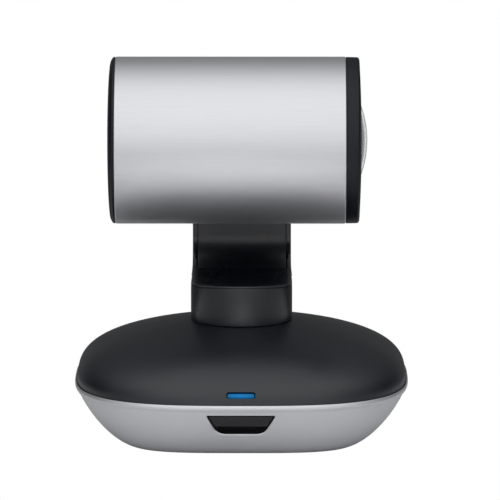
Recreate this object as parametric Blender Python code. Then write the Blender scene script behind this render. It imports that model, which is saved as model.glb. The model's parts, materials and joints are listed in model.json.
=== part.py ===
"""Motorised pan-tilt-zoom conference camera, in metres, +Z up, standing on its feet at Z 0.

The base stands still with its front at -Y. The turret turns on the Z axis, and carries one side arm.
The head tilts on the arm about an axis along Y. Here the head is turned so that its lens looks along +X.
Run it with: blender --background --python part.py
"""

import math

import bmesh
import bpy
from mathutils import Vector

MM = 0.001

# Driving dimensions
GAP = 0.3 * MM
COVER_HALF = 63.9 * MM
RIM_HEIGHT = 23.7 * MM
FOOT_HEIGHT = 1.0 * MM
BASE_WALL = 2.0 * MM
COLLAR_RADIUS = 19.8 * MM
TILT_HEIGHT = 116.2 * MM
TUBE_RADIUS = 32.5 * MM
TUBE_WALL = 1.6 * MM
TUBE_REAR = -49.0 * MM
TUBE_FRONT = 40.45 * MM
ARM_HALF = 19.45 * MM
ARM_FACE = 33.9 * MM
ARM_BACK = 50.0 * MM
ARM_WALL = 1.8 * MM
PANEL_HALF = 17.5 * MM
PANEL_WALL = 1.6 * MM
GEAR_MODULE = 1.0 * MM
PAN_TEETH = 40
TILT_TEETH = 28
PINION_TEETH = 12

# Derived places
TUBE_BORE = TUBE_RADIUS - TUBE_WALL
PAN_GEAR_DISTANCE = GEAR_MODULE * (PAN_TEETH + PINION_TEETH) / 2
TILT_GEAR_DISTANCE = GEAR_MODULE * (TILT_TEETH + PINION_TEETH) / 2
BASE_SIDES = 48
COLLAR_SIDES = 48
COVER_HOLE = COLLAR_RADIUS + 0.55 * MM
HOLE_SHARE = COVER_HOLE / COVER_HALF
FULL_TURN = 2 * math.pi


# ---------------------------------------------------------------- the scene and its materials


def clear_scene():
    for obj in list(bpy.data.objects):
        bpy.data.objects.remove(obj)


def material(name, colour, roughness, metallic=0.0):
    made = bpy.data.materials.new(name)
    made.use_nodes = True
    shader = made.node_tree.nodes["Principled BSDF"]
    shader.inputs["Base Color"].default_value = (*colour, 1.0)
    shader.inputs["Roughness"].default_value = roughness
    shader.inputs["Metallic"].default_value = metallic
    made.diffuse_color = (*colour, 1.0)
    return made


clear_scene()
ALUMINIUM = material("brushed_aluminium", (0.72, 0.73, 0.75), 0.35, 1.0)
SILVER_PAINT = material("silver_paint", (0.62, 0.63, 0.65), 0.4, 0.6)
BLACK_PLASTIC = material("black_plastic", (0.03, 0.032, 0.035), 0.45)
GLOSS_BLACK = material("gloss_black", (0.012, 0.012, 0.014), 0.12)
RUBBER = material("rubber", (0.02, 0.02, 0.02), 0.85)
STEEL = material("steel", (0.55, 0.56, 0.58), 0.35, 1.0)
BRASS = material("brass", (0.75, 0.58, 0.28), 0.3, 1.0)
WHITE_NYLON = material("white_nylon", (0.82, 0.81, 0.76), 0.5)
GREEN_BOARD = material("green_board", (0.02, 0.16, 0.07), 0.5)
CHIP_BLACK = material("chip_black", (0.02, 0.02, 0.022), 0.6)
CLEAR_GLASS = material("clear_glass", (0.9, 0.94, 0.95), 0.03)
LIGHT_BLUE = material("light_blue", (0.02, 0.36, 0.8), 0.25)


def axis_empty(name, location, parent=None):
    """An empty on a joint's axis, which carries the pieces that move about it."""
    empty = bpy.data.objects.new(name, None)
    bpy.context.scene.collection.objects.link(empty)
    empty.parent = parent
    empty.location = location
    return empty


BASE = axis_empty("base_origin", (0, 0, 0))
PAN = axis_empty("pan_axis", (0, 0, 0), BASE)
PAN_PINION = axis_empty("pan_pinion_axis", (-PAN_GEAR_DISTANCE, 0, 0), BASE)
TILT = axis_empty("tilt_axis", (0, 0, TILT_HEIGHT), PAN)
TILT_PINION = axis_empty("tilt_pinion_axis", (0, 0, TILT_HEIGHT - TILT_GEAR_DISTANCE), PAN)
ZOOM = axis_empty("zoom_slide", (0, 0, 0), TILT)
FOCUS = axis_empty("focus_slide", (0, 0, 0), TILT)
SCREW_OFFSET = 12.5 * MM
ZOOM_SCREW = axis_empty("zoom_screw_axis", (0, SCREW_OFFSET, SCREW_OFFSET), TILT)


# ---------------------------------------------------------------- mesh tools


def object_of(name, mesh):
    obj = bpy.data.objects.new(name, mesh)
    bpy.context.scene.collection.objects.link(obj)
    return obj


def solid(name, points, faces):
    """A closed mesh whose faces point outwards, with doubled points merged."""
    mesh = bpy.data.meshes.new(name)
    mesh.from_pydata([tuple(p) for p in points], [], faces)
    bm = bmesh.new()
    bm.from_mesh(mesh)
    bmesh.ops.remove_doubles(bm, verts=bm.verts, dist=1e-6)
    bmesh.ops.recalc_face_normals(bm, faces=bm.faces)
    bm.to_mesh(mesh)
    bm.free()
    return object_of(name, mesh)


def along(axis, first, second, height):
    """A point of a flat outline at a height along an axis. The outline runs (y, z), (x, z) or (x, y)."""
    if axis == "X":
        return (height, first, second)
    if axis == "Y":
        return (first, height, second)
    return (first, second, height)


def prism(name, outline, low, high, axis="Z"):
    count = len(outline)
    points = [along(axis, a, b, low) for a, b in outline]
    points += [along(axis, a, b, high) for a, b in outline]
    faces = [tuple(range(count))[::-1], tuple(range(count, 2 * count))]
    for i in range(count):
        j = (i + 1) % count
        faces.append((i, j, count + j, count + i))
    return solid(name, points, faces)


def turned(name, profile, axis="Z", sides=24):
    """A profile of (radius, height) turned round an axis: pole to pole, or a closed ring."""
    pole_to_pole = profile[0][0] == 0 and profile[-1][0] == 0
    points = []
    for radius, height in profile:
        for k in range(sides):
            angle = FULL_TURN * k / sides
            points.append(along(axis, radius * math.cos(angle), radius * math.sin(angle), height))
    rings = len(profile)
    faces = []
    for ring in range(rings - 1 if pole_to_pole else rings):
        after = (ring + 1) % rings
        for k in range(sides):
            nxt = (k + 1) % sides
            corners = [ring * sides + k, ring * sides + nxt, after * sides + nxt, after * sides + k]
            if profile[ring][0] == 0:
                corners = [ring * sides, corners[2], corners[3]]
            elif profile[after][0] == 0:
                corners = [corners[0], corners[1], after * sides]
            faces.append(tuple(corners))
    return solid(name, points, faces)


def tube(name, inner, outer, low, high, axis="Z", sides=24):
    return turned(name, [(outer, low), (outer, high), (inner, high), (inner, low)], axis, sides)


def disc(name, radius, low, high, axis="Z", sides=24):
    return turned(name, [(0, low), (radius, low), (radius, high), (0, high)], axis, sides)


def block(name, low, high):
    (x0, y0, z0), (x1, y1, z1) = low, high
    return prism(name, [(x0, y0), (x1, y0), (x1, y1), (x0, y1)], z0, z1)


def arc(centre, radii, start, end, steps):
    """Points of an ellipse's arc, angles in degrees."""
    angles = [math.radians(start + (end - start) * i / steps) for i in range(steps + 1)]
    return [(centre[0] + radii[0] * math.cos(a), centre[1] + radii[1] * math.sin(a)) for a in angles]


def bezier(start, first, second, end, steps):
    points = []
    for i in range(steps + 1):
        t = i / steps
        weights = ((1 - t) ** 3, 3 * t * (1 - t) ** 2, 3 * t * t * (1 - t), t**3)
        corners = (start, first, second, end)
        points.append(tuple(sum(w * p[k] for w, p in zip(weights, corners)) for k in (0, 1)))
    return points


def boolean(target, other, operation):
    """Applies an exact Boolean, and removes the other shape."""
    modifier = target.modifiers.new(operation.lower(), "BOOLEAN")
    modifier.operation = operation
    modifier.object = other
    bpy.context.view_layer.update()
    graph = bpy.context.evaluated_depsgraph_get()
    mesh = bpy.data.meshes.new_from_object(target.evaluated_get(graph))
    target.modifiers.clear()
    target.data = mesh
    bpy.data.objects.remove(other)
    return target


def cut(target, other):
    return boolean(target, other, "DIFFERENCE")


def join(target, other):
    return boolean(target, other, "UNION")


def common(target, other):
    return boolean(target, other, "INTERSECT")


def finish(obj, paint, parent, smooth=True):
    """Gives a piece its material, its edges' shading and its place under its body's empty."""
    obj.data.materials.clear()
    obj.data.materials.append(paint)
    if smooth:
        obj.data.shade_smooth()
        obj.data.set_sharp_from_angle(angle=math.radians(35))
    obj.parent = parent
    return obj


# ---------------------------------------------------------------- the base's rounded-square shape


def squircle(half, height, exponent, sides=BASE_SIDES):
    """A ring whose outline is |x|^n + |y|^n = half^n."""
    ring = []
    for k in range(sides):
        angle = FULL_TURN * k / sides
        c, s = math.cos(angle), math.sin(angle)
        radius = half * (abs(c) ** exponent + abs(s) ** exponent) ** (-1 / exponent)
        ring.append((radius * c, radius * s, height))
    return ring


def loft(name, rings, closed_loop=False):
    """A skin over rings of equal point counts, capped at both ends or joined round into a shell."""
    sides = len(rings[0])
    points = [p for ring in rings for p in ring]
    faces = []
    for i in range(len(rings) if closed_loop else len(rings) - 1):
        after = (i + 1) % len(rings)
        for k in range(sides):
            nxt = (k + 1) % sides
            faces.append((i * sides + k, i * sides + nxt, after * sides + nxt, after * sides + k))
    if not closed_loop:
        faces.append(tuple(range(sides)))
        faces.append(tuple(range((len(rings) - 1) * sides, len(rings) * sides)))
    skin = solid(name, points, faces)
    bm = bmesh.new()
    bm.from_mesh(skin.data)
    bmesh.ops.triangulate(bm, faces=[f for f in bm.faces if len(f.verts) == 4])
    bm.to_mesh(skin.data)
    bm.free()
    return skin


RIM_EXPONENT = 3.0
SOLE_EXPONENT = 4.0
# Half-widths of the lower bowl at heights above the floor, from its rim to its sole.
BOWL_PROFILE = [
    (64.65, 23.6), (64.9, 23.0), (64.6, 21.7), (62.9, 19.15), (60.0, 14.6), (56.4, 10.1),
    (51.9, 5.5), (48.95, 3.24), (46.3, 1.9), (43.4, 1.1), (41.0, 1.0),
]


def bowl_exponent(height):
    share = (RIM_HEIGHT - height) / (RIM_HEIGHT - FOOT_HEIGHT)
    return RIM_EXPONENT + (SOLE_EXPONENT - RIM_EXPONENT) * min(1.0, max(0.0, share))


def bowl_rings(inset=0.0):
    rings = []
    for half, height in BOWL_PROFILE:
        rings.append(squircle(half * MM - inset, height * MM, bowl_exponent(height * MM)))
    return rings


def bowl_volume(name, inset=0.0):
    """The bowl's whole outer shape as one solid, to trim the windows and panels that lie flush in it."""
    return loft(name, bowl_rings(inset))


def cover_height(share):
    """The dome's height above its rim at a share of its half-width: steep at the rim, a low cone inside."""
    shoulder = (1 - share**2.55) ** 0.353
    return (14.28 * shoulder + 10.49 * (1 - share) ** 0.7625) * MM


def cover_ring(share, half, height):
    roundness = (share - HOLE_SHARE) / (1 - HOLE_SHARE)
    exponent = 2 + (RIM_EXPONENT - 2) * max(0.0, roundness) ** 0.7
    return squircle(share * half, height, exponent)


# ---------------------------------------------------------------- base shells

COVER_SHARES = (HOLE_SHARE, 0.42, 0.55, 0.68, 0.79, 0.87, 0.93, 0.97, 0.99, 0.998, 1.0)
LIGHT_SHARE = 0.992
LIGHT_TILT = math.radians(20)
LIGHT_SIZE = (10.2 * MM, 1.9 * MM)


def slot_bar(name, length, height, low, high):
    """A bar with round ends, its long side along X, pushed along its own local Y."""
    radius = height / 2
    reach = length / 2 - radius
    outline = arc((reach, 0), (radius, radius), -90, 90, 6) + arc((-reach, 0), (radius, radius), 90, 270, 6)
    return prism(name, outline, low, high, "Y")


def light_place(obj):
    """Sets a piece square to the dome's steep front edge, where the status light is."""
    obj.rotation_euler = (-LIGHT_TILT, 0, 0)
    obj.location = (0, -LIGHT_SHARE * COVER_HALF, RIM_HEIGHT + cover_height(LIGHT_SHARE))
    bpy.context.view_layer.update()
    return obj


def make_top_cover():
    skirt = RIM_HEIGHT - 1.1 * MM
    outer = [cover_ring(s, COVER_HALF, RIM_HEIGHT + cover_height(s)) for s in COVER_SHARES]
    inner_half = COVER_HALF - BASE_WALL
    top_inside = RIM_HEIGHT + cover_height(HOLE_SHARE) - BASE_WALL
    stretch = (top_inside - skirt) / cover_height(HOLE_SHARE)
    rings = outer + [squircle(COVER_HALF, skirt, RIM_EXPONENT)]
    for share in (1.0, 0.97, 0.9, 0.79, 0.62):
        rings.append(cover_ring(share, inner_half, skirt + stretch * cover_height(share)))
    rings.append(squircle(COVER_HOLE, top_inside, 2.0))
    cover = loft("base_top_cover", rings, closed_loop=True)
    slot = slot_bar("cutter", LIGHT_SIZE[0] + 2 * GAP, LIGHT_SIZE[1] + 2 * GAP, -6 * MM, 6 * MM)
    window = light_place(slot)
    return finish(cut(cover, window), BLACK_PLASTIC, BASE)


WINDOW_TILT = math.radians(35)
WINDOW_CENTRE = (0, -60.2 * MM, 15.2 * MM)
WINDOW_WIDE = 13.3 * MM
WINDOW_NARROW = 8.8 * MM
WINDOW_TALL = 5.1 * MM


def window_wedge(name, inset, low, high):
    """The infrared window's outline, wider at its top, pushed along the slope of the bowl's front."""
    wide, narrow, tall = WINDOW_WIDE - inset, WINDOW_NARROW - inset, WINDOW_TALL - inset
    corner = 2.2 * MM
    outline = [(-wide, tall), (-narrow - corner * 0.44, corner - tall), (-narrow + corner * 0.8, -tall)]
    outline += [(-a, b) for a, b in reversed(outline)]
    wedge = prism(name, outline, low, high, "Y")
    wedge.rotation_euler = (WINDOW_TILT, 0, 0)
    wedge.location = WINDOW_CENTRE
    bpy.context.view_layer.update()
    return wedge


PANEL_X = 25.0 * MM
PANEL_LOW = 6.6 * MM
PANEL_HIGH = 18.6 * MM
PANEL_PLANE = 49.2 * MM


def make_bowl():
    outer = bowl_rings()
    inner = []
    for half, height in ((39.6, 1.0), (39.6, 3.6), (46.0, 3.9), (50.6, 7.0), (54.5, 11.0), (58.2, 15.0),
                         (62.0, 21.9), (64.2, 21.9), (64.2, 23.6)):
        inner.append(squircle(half * MM, height * MM, bowl_exponent(height * MM)))
    bowl = loft("base_bowl", outer + inner, closed_loop=True)
    cut(bowl, window_wedge("cutter", 0.0, -8 * MM, 8 * MM))
    reach = 80 * MM
    cut(bowl, block("cutter", (-PANEL_X, PANEL_PLANE - 6 * MM, PANEL_LOW), (PANEL_X, reach, PANEL_HIGH)))
    return finish(bowl, SILVER_PAINT, BASE)


def make_window():
    window = common(window_wedge("ir_window", GAP, -4 * MM, 6.5 * MM), bowl_volume("trim", 0.1 * MM))
    recess = window_wedge("cutter", GAP + 0.7 * MM, -30 * MM, -0.1 * MM)
    return finish(cut(window, recess), GLOSS_BLACK, BASE, smooth=False)


FOOT_SPREAD = 29.0 * MM
SCREW_X = 29.7 * MM
SCREW_Y = 20.7 * MM
PLATE_HALF = 39.3 * MM
PLATE_THICK = 2.2 * MM
INSERT_RADIUS = 6.5 * MM
INSERT_BORE = 3.1 * MM
CORNERS = {"front_left": (-1, -1), "front_right": (1, -1), "rear_left": (-1, 1), "rear_right": (1, 1)}


def make_bottom():
    plate = loft("base_bottom_plate", [squircle(PLATE_HALF, z, SOLE_EXPONENT) for z in
                                       (FOOT_HEIGHT, FOOT_HEIGHT + PLATE_THICK)])
    cut(plate, disc("cutter", INSERT_RADIUS + GAP, -5 * MM, 20 * MM))
    for x, y in CORNERS.values():
        hole = disc("cutter", 1.4 * MM, -5 * MM, 20 * MM, sides=12)
        hole.location = (x * SCREW_X, y * SCREW_Y, 0)
        cut(plate, hole)
    finish(plate, BLACK_PLASTIC, BASE)
    for corner, (x, y) in CORNERS.items():
        foot = turned("foot_" + corner, [(0, 0), (5.0 * MM, 0), (5.5 * MM, 0.4 * MM), (5.5 * MM, 0.97 * MM),
                                         (0, 0.97 * MM)], sides=20)
        foot.location = (x * FOOT_SPREAD, y * FOOT_SPREAD, 0)
        finish(foot, RUBBER, BASE)
        screw = turned("base_screw_" + corner, [
            (0, 1.1 * MM), (1.2 * MM, 1.1 * MM), (1.2 * MM, 3.5 * MM), (2.6 * MM, 3.5 * MM),
            (2.6 * MM, 5.1 * MM), (0, 5.1 * MM)], sides=12)
        screw.location = (x * SCREW_X, y * SCREW_Y, 0)
        finish(screw, STEEL, BASE)
    insert = turned("tripod_insert", [
        (INSERT_BORE, FOOT_HEIGHT), (INSERT_RADIUS, FOOT_HEIGHT), (INSERT_RADIUS, 3.5 * MM),
        (8.5 * MM, 3.5 * MM), (8.5 * MM, 5.2 * MM), (5.2 * MM, 5.2 * MM), (5.2 * MM, 10.5 * MM),
        (INSERT_BORE, 10.5 * MM)], sides=20)
    finish(insert, BRASS, BASE)


def make_lights():
    light = light_place(slot_bar("status_light", *LIGHT_SIZE, -0.15 * MM, 3.2 * MM))
    finish(light, LIGHT_BLUE, BASE)
    lamp = light_place(slot_bar("status_led", 3.0 * MM, 1.6 * MM, 3.6 * MM, 5.0 * MM))
    finish(lamp, CHIP_BLACK, BASE)
    receiver = block("ir_receiver", (-3.2 * MM, -49.6 * MM, 13.0 * MM), (3.2 * MM, -46.0 * MM, 19.5 * MM))
    finish(receiver, CHIP_BLACK, BASE, smooth=False)


# ---------------------------------------------------------------- rear sockets

DECK_LOW = 29.5 * MM
DECK_HIGH = 31.0 * MM
LEG_RADIUS = 2.6 * MM
LEG_PLACES = ((20 * MM, 0, 0), (-7 * MM, 19 * MM, 0), (-7 * MM, -19 * MM, 0))
USB_PLACE = (-14.0 * MM, 12.2 * MM)
DC_PLACE = (14.0 * MM, 12.2 * MM)
CONTROL_PLACE = (0.0, 12.2 * MM)
USB_HALF = (5.2 * MM, 4.8 * MM)
USB_MOUTH = (4.25 * MM, 3.9 * MM)
SOCKET_BACK = 38.0 * MM
SOCKET_FACE = PANEL_PLANE + 0.4 * MM


def moved(obj, place):
    obj.location = (place[0], 0, place[1])
    bpy.context.view_layer.update()
    return obj


def rectangle(half):
    return [(-half[0], -half[1]), (half[0], -half[1]), (half[0], half[1]), (-half[0], half[1])]


def make_rear_panel():
    panel = block("rear_panel", (-PANEL_X + GAP, PANEL_PLANE - 2 * MM, PANEL_LOW + GAP),
                  (PANEL_X - GAP, 70 * MM, PANEL_HIGH - GAP))
    common(panel, bowl_volume("trim", 0.1 * MM))
    wall = 1.1 * MM
    recess = (PANEL_X - wall, 80 * MM, PANEL_HIGH - wall)
    cut(panel, block("cutter", (wall - PANEL_X, PANEL_PLANE, PANEL_LOW + wall), recess))
    mouth = 30 * MM
    cut(panel, moved(prism("cutter", rectangle([h + GAP for h in USB_HALF]), mouth, 80 * MM, "Y"), USB_PLACE))
    cut(panel, moved(disc("cutter", 4.9 * MM + GAP, mouth, 80 * MM, "Y", 20), DC_PLACE))
    cut(panel, moved(disc("cutter", 6.2 * MM - GAP, mouth, 80 * MM, "Y", 20), CONTROL_PLACE))
    return finish(panel, BLACK_PLASTIC, BASE, smooth=False)


def make_sockets():
    usb = prism("usb_socket", rectangle(USB_HALF), SOCKET_BACK, SOCKET_FACE, "Y")
    cut(usb, prism("cutter", rectangle(USB_MOUTH), SOCKET_BACK + 1.5 * MM, 80 * MM, "Y"))
    finish(moved(usb, USB_PLACE), STEEL, BASE, smooth=False)
    barrel = disc("dc_jack", 4.9 * MM, SOCKET_BACK, SOCKET_FACE, "Y", 20)
    cut(barrel, disc("cutter", 3.2 * MM, SOCKET_BACK + 2 * MM, 80 * MM, "Y", 16))
    finish(moved(barrel, DC_PLACE), CHIP_BLACK, BASE)
    control = disc("control_socket", 5.6 * MM, SOCKET_BACK, SOCKET_FACE, "Y", 20)
    cut(control, disc("cutter", 4.4 * MM, SOCKET_BACK + 2 * MM, 80 * MM, "Y", 16))
    finish(moved(control, CONTROL_PLACE), CHIP_BLACK, BASE)
    board = block("main_board", (-34 * MM, -30 * MM, 5.5 * MM), (34 * MM, 37.5 * MM, 7.1 * MM))
    cut(board, disc("cutter", 8.9 * MM, 0, 20 * MM))
    for place in LEG_PLACES:
        hole = disc("cutter", LEG_RADIUS + GAP, 0, 20 * MM, sides=12)
        hole.location = place
        cut(board, hole)
    finish(board, GREEN_BOARD, BASE, smooth=False)


# ---------------------------------------------------------------- pan drive

POST_RADIUS = 8.0 * MM
POST_BORE = 5.5 * MM
POST_TOP = 49.0 * MM
HUB_BORE = 9.3 * MM
HUB_RADIUS = 12.0 * MM
HUB_LOW = 32.0 * MM
FLANGE_RADIUS = 17.3 * MM
PAN_GEAR_LOW = 32.4 * MM
PAN_GEAR_HIGH = 35.9 * MM


def gear_outline(teeth, turn=0.0, backlash=0.14 * MM, addendum=0.75):
    """An involute gear's outline at 20 degrees pressure angle. Short teeth keep a small pinion from fouling."""
    pitch = GEAR_MODULE * teeth / 2
    pressure = math.radians(20)
    base = pitch * math.cos(pressure)
    root = pitch - 1.1 * GEAR_MODULE
    tip = pitch + addendum * GEAR_MODULE
    half_at_pitch = math.pi / (2 * teeth) - backlash / (2 * pitch)

    def half_angle(radius):
        pressed = math.acos(min(1.0, base / radius))
        return half_at_pitch + (math.tan(pressure) - pressure) - (math.tan(pressed) - pressed)

    low = max(base, root)
    radii = [low, (low + tip) / 2, tip]
    outline = []
    for tooth in range(teeth):
        centre = FULL_TURN * tooth / teeth + turn
        flank = [(root, -half_angle(low))] if root < base else []
        flank += [(r, -half_angle(r)) for r in radii]
        flank += [(r, -a) for r, a in reversed(flank)]
        outline += [(r * math.cos(centre + a), r * math.sin(centre + a)) for r, a in flank]
    return outline


def make_pan_drive():
    deck = disc("pan_frame", 24 * MM, DECK_LOW, DECK_HIGH, sides=32)
    shelf = disc("trim", 14 * MM, DECK_LOW, DECK_HIGH, sides=24)
    shelf.location = (-PAN_GEAR_DISTANCE, 0, 0)
    join(deck, shelf)
    for place in LEG_PLACES:
        leg = disc("trim", LEG_RADIUS, FOOT_HEIGHT + PLATE_THICK + GAP, DECK_LOW + 0.7 * MM, sides=12)
        leg.location = place
        join(deck, leg)
    join(deck, disc("trim", POST_RADIUS, DECK_LOW + 0.4 * MM, POST_TOP, sides=32))
    cut(deck, disc("cutter", POST_BORE, 0, 80 * MM, sides=24))
    shaft_hole = disc("cutter", 3.0 * MM, 0, 80 * MM, sides=12)
    shaft_hole.location = (-PAN_GEAR_DISTANCE, 0, 0)
    finish(cut(deck, shaft_hole), STEEL, BASE)
    retainer = tube("pan_retainer", 5.8 * MM, 11.0 * MM, POST_TOP + GAP, POST_TOP + 1.5 * MM, sides=28)
    finish(retainer, STEEL, BASE)
    motor = turned("pan_motor", [
        (0, 13.0 * MM), (12.6 * MM, 13.0 * MM), (13.0 * MM, 13.4 * MM), (13.0 * MM, 28.8 * MM),
        (5.0 * MM, 28.8 * MM), (5.0 * MM, 29.2 * MM), (0, 29.2 * MM)], sides=28)
    motor.location = (-PAN_GEAR_DISTANCE, 0, 0)
    finish(motor, STEEL, BASE)
    outline = gear_outline(PINION_TEETH, turn=math.pi / PINION_TEETH)
    pinion = prism("pan_pinion", outline, PAN_GEAR_LOW - 0.4 * MM, PAN_GEAR_HIGH + 0.4 * MM)
    join(pinion, disc("trim", 1.5 * MM, 29.6 * MM, PAN_GEAR_HIGH, sides=12))
    finish(pinion, BRASS, PAN_PINION, smooth=False)
    gear = prism("pan_gear", gear_outline(PAN_TEETH), PAN_GEAR_LOW, PAN_GEAR_HIGH)
    finish(cut(gear, disc("cutter", HUB_RADIUS + GAP, 0, 80 * MM, sides=32)), WHITE_NYLON, PAN, smooth=False)
    bush = tube("pan_bush", POST_RADIUS + 0.35 * MM, HUB_BORE - GAP, HUB_LOW, 46.0 * MM, sides=32)
    finish(bush, BRASS, PAN)
    hub = turned("pan_hub", [
        (HUB_BORE, HUB_LOW), (HUB_RADIUS, HUB_LOW), (HUB_RADIUS, 46.0 * MM), (FLANGE_RADIUS, 46.0 * MM),
        (FLANGE_RADIUS, 52.0 * MM), (14.5 * MM, 52.0 * MM), (14.5 * MM, 48.4 * MM),
        (HUB_BORE, 48.4 * MM)], sides=32)
    finish(hub, STEEL, PAN)


# ---------------------------------------------------------------- turret and side arm

SEAM_HEIGHT = 59.1 * MM
SEAM_SLOPE = 0.10
CAP_LIP = 0.8 * MM
CAP_BACK = 21.5 * MM
TROUGH_CENTRE = (0.0, 76.0 * MM)
ARM_FLARE_TOP = 63.0 * MM
HALF_SEAM = GAP / 2


def seam_height(y):
    """The collar's top is cut on a slant, higher at the side away from the arm."""
    return SEAM_HEIGHT - SEAM_SLOPE * y


def trough(inset=0.0, start=0.0, front=True):
    """The hollow under the head, from its side: a slanting floor, then an ellipse up to the arm's face."""
    drop = TROUGH_CENTRE[1] - (SEAM_HEIGHT + CAP_LIP)
    curve = arc(TROUGH_CENTRE, (ARM_FACE + inset, drop + inset), -90, 0, 12)
    curve = [p for p in curve if p[0] >= start]
    if front:
        edge = -COLLAR_RADIUS - 1 * MM
        curve = [(edge, seam_height(edge) + CAP_LIP - inset)] + curve
    return curve


def arm_back(inset=0.0):
    """The arm's outer side, from the collar's back edge down and out, then straight up."""
    start = (COLLAR_RADIUS - 0.5 * MM, seam_height(COLLAR_RADIUS) + HALF_SEAM + inset)
    knee = (36 * MM - inset * 0.5, 57.5 * MM + inset)
    return bezier(start, knee, (ARM_BACK - inset, 66 * MM), (ARM_BACK - inset, 86 * MM), 8)


def stadium(half, flare, low):
    """The arm from behind: straight sides, a little wider at the collar, a round top on the tilt axis."""
    top = arc((0, TILT_HEIGHT), (half, half), 0, 180, 20)
    return [(half + flare, low), (half + flare, SEAM_HEIGHT), (half, ARM_FLARE_TOP)] + top + [
        (-half, ARM_FLARE_TOP), (-half - flare, SEAM_HEIGHT), (-half - flare, low)]


def arm_body(name):
    """The whole outer shape of cap and arm: its side view, back view and plan, all cut from one block."""
    high = TILT_HEIGHT + 30 * MM
    front = -COLLAR_RADIUS - 1 * MM
    side = trough() + [(ARM_FACE, high), (ARM_BACK, high)] + arm_back()[::-1]
    side += [(0, seam_height(0) + HALF_SEAM), (front, seam_height(front) + HALF_SEAM)]
    body = prism(name, side, -30 * MM, 30 * MM, "X")
    common(body, prism("trim", stadium(ARM_HALF, COLLAR_RADIUS - ARM_HALF, 40 * MM), -40 * MM, 60 * MM, "Y"))
    plan = arc((0, 0), (COLLAR_RADIUS, COLLAR_RADIUS), 180, 360, COLLAR_SIDES // 2)
    plan += [(COLLAR_RADIUS + 0.5 * MM, 0.5 * MM), (COLLAR_RADIUS + 0.5 * MM, 60 * MM),
             (-COLLAR_RADIUS - 0.5 * MM, 60 * MM), (-COLLAR_RADIUS - 0.5 * MM, 0.5 * MM)]
    return common(body, prism("trim", plan, 30 * MM, 160 * MM))


def make_collar():
    inner = COLLAR_RADIUS - 2 * MM
    collar = tube("turret_collar", inner, COLLAR_RADIUS, 43.7 * MM, 64 * MM, sides=COLLAR_SIDES)
    reach = 30 * MM
    above = [(-reach, seam_height(-reach) - HALF_SEAM), (reach, seam_height(reach) - HALF_SEAM),
             (reach, 80 * MM), (-reach, 80 * MM)]
    return finish(cut(collar, prism("cutter", above, -reach, reach, "X")), BLACK_PLASTIC, PAN)


def make_cap():
    cap = arm_body("turret_cap")
    cut(cap, block("cutter", (-40 * MM, CAP_BACK, 0), (40 * MM, 80 * MM, 200 * MM)))
    ceiling = [p for p in trough(inset=2 * MM)]
    hollow = [(-16.5 * MM, 40 * MM), (-16.5 * MM, ceiling[0][1])] + ceiling[1:8] + [(30 * MM, 40 * MM)]
    cut(cap, prism("cutter", hollow, -16.5 * MM, 16.5 * MM, "X"))
    upper = trough(inset=0.4 * MM)[:6]
    lower = trough(inset=2.4 * MM)[:6]
    plug = prism("trim", upper + lower[::-1], -30 * MM, 30 * MM, "X")
    common(plug, disc("trim2", COLLAR_RADIUS - 2 * MM - GAP, 30 * MM, 90 * MM, sides=32))
    join(cap, plug)
    return finish(cap, BLACK_PLASTIC, PAN)


def make_arm():
    shell = arm_body("arm_outer_shell")
    cut(shell, block("cutter", (-40 * MM, -40 * MM, 0), (40 * MM, CAP_BACK + GAP, 200 * MM)))
    high = TILT_HEIGHT + 40 * MM
    inside = arm_back(ARM_WALL)
    hollow = [(CAP_BACK - 10 * MM, inside[0][1])] + [p for p in inside if p[0] > CAP_BACK]
    hollow += [(ARM_BACK - ARM_WALL, high), (CAP_BACK - 10 * MM, high)]
    core = prism("cutter", hollow, -30 * MM, 30 * MM, "X")
    common(core, prism("trim", stadium(PANEL_HALF + 0.2 * MM, 0, 40 * MM), 0, 60 * MM, "Y"))
    finish(cut(shell, core), BLACK_PLASTIC, PAN)

    outer = [p for p in trough(inset=PANEL_WALL, front=False) if p[0] >= CAP_BACK]
    inner = [p for p in trough(front=False) if p[0] >= CAP_BACK - 1 * MM]
    side = inner + [(ARM_FACE, high), (ARM_FACE + PANEL_WALL, high)] + outer[::-1]
    panel = prism("arm_inner_cover", side, -30 * MM, 30 * MM, "X")
    common(panel, prism("trim", stadium(PANEL_HALF, 0, 40 * MM), 0, 60 * MM, "Y"))
    cut(panel, block("cutter", (-40 * MM, -40 * MM, 0), (40 * MM, CAP_BACK + GAP, 200 * MM)))
    hole = disc("cutter", 10 * MM, 0, 80 * MM, "Y", 24)
    hole.location = (0, 0, TILT_HEIGHT)
    finish(cut(panel, hole), BLACK_PLASTIC, PAN)


FRAME_THICK = 1.2 * MM
FRAME_HALF = 13.0 * MM
FRAME_NECK = 8.0 * MM
FRAME_PLANE = 37.0 * MM
ARM_SCREW_X = 9.5 * MM
ARM_SCREW_Z = 78.0 * MM
GEAR_LANE = (38.5 * MM, 41.5 * MM)
SHAFT_RADIUS = 6.0 * MM


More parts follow.
